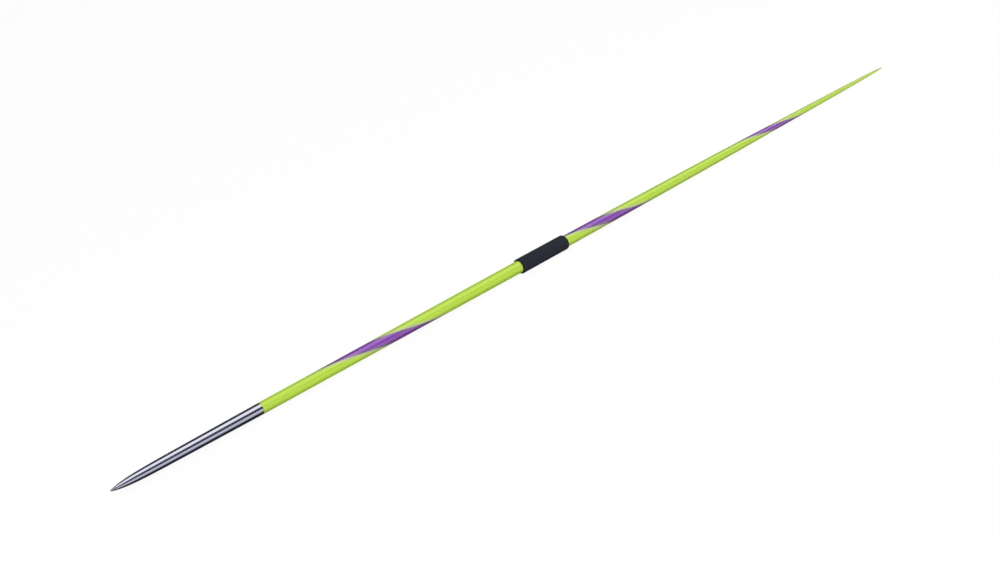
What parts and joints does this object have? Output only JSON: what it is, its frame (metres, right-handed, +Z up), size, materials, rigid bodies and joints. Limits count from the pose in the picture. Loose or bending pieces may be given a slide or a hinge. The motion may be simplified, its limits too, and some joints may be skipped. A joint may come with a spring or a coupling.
{
  "type": "javelin",
  "caption": "Men's 800 g throwing javelin: polished steel head with a reinforced point, painted alloy shaft in joined tubes, wound cord grip and a tapered tail.",
  "frame": {"origin": "on the javelin's axis, in the middle of the hand grip, where it balances", "axes": "+X along the axis from the point towards the tail, +Z up, with the javelin lying on the underside of its grip"},
  "size_m": [2.602, 0.0346, 0.0343],
  "materials": {
    "plain_steel": "satin",
    "polished_steel": "polished",
    "brass": "satin",
    "lime_paint": "gloss",
    "bare_alloy": "satin",
    "damper_rubber": "matte",
    "grip_tape": "matte",
    "grip_fibre": "matte"
  },
  "bodies": {
    "root": {"head_tip": "plain_steel", "head_shell": "polished_steel", "balance_slug": "brass", "front_shaft": "lime_paint", "front_damper": "damper_rubber", "centre_sleeve": "bare_alloy", "rear_shaft": "lime_paint", "rear_damper": "damper_rubber", "tail_tip": "lime_paint", "grip_underlay": "grip_tape", "grip_cord": "grip_fibre"}
  },
  "joints": []
}
